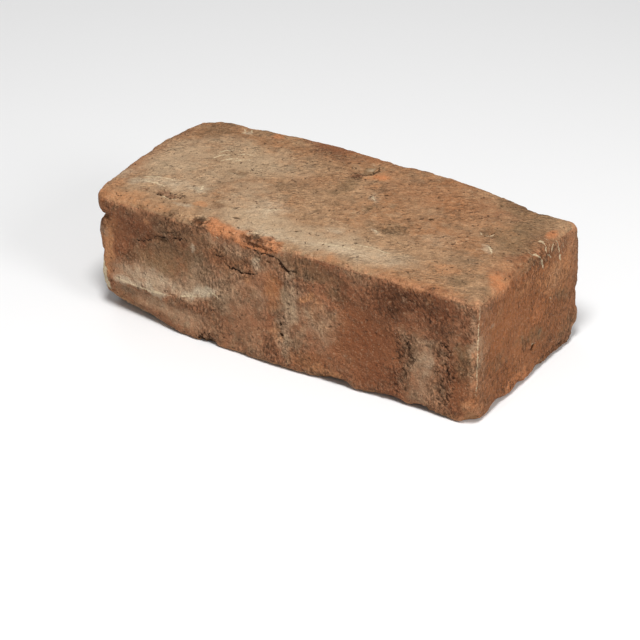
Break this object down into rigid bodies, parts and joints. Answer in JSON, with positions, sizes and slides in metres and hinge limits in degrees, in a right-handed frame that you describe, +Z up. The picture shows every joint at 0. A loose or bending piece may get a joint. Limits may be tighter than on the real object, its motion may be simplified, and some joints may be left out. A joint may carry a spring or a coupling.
{
  "type": "clay brick",
  "caption": "Solid hand-moulded fired clay building brick with worn arrises, slumped faces and chipped edges.",
  "frame": {"origin": "on the floor, under the middle of the brick's own box", "axes": "+X along the brick's length, -Y out of the front stretcher face, +Z up out of the upper bed"},
  "size_m": [0.219, 0.11, 0.065],
  "materials": {
    "fired_clay": "unglazed fired clay, matt, rough and gritty, tan on the upper bed and darker brown on the sides"
  },
  "bodies": {
    "root": {"brick": "fired_clay"}
  },
  "joints": []
}
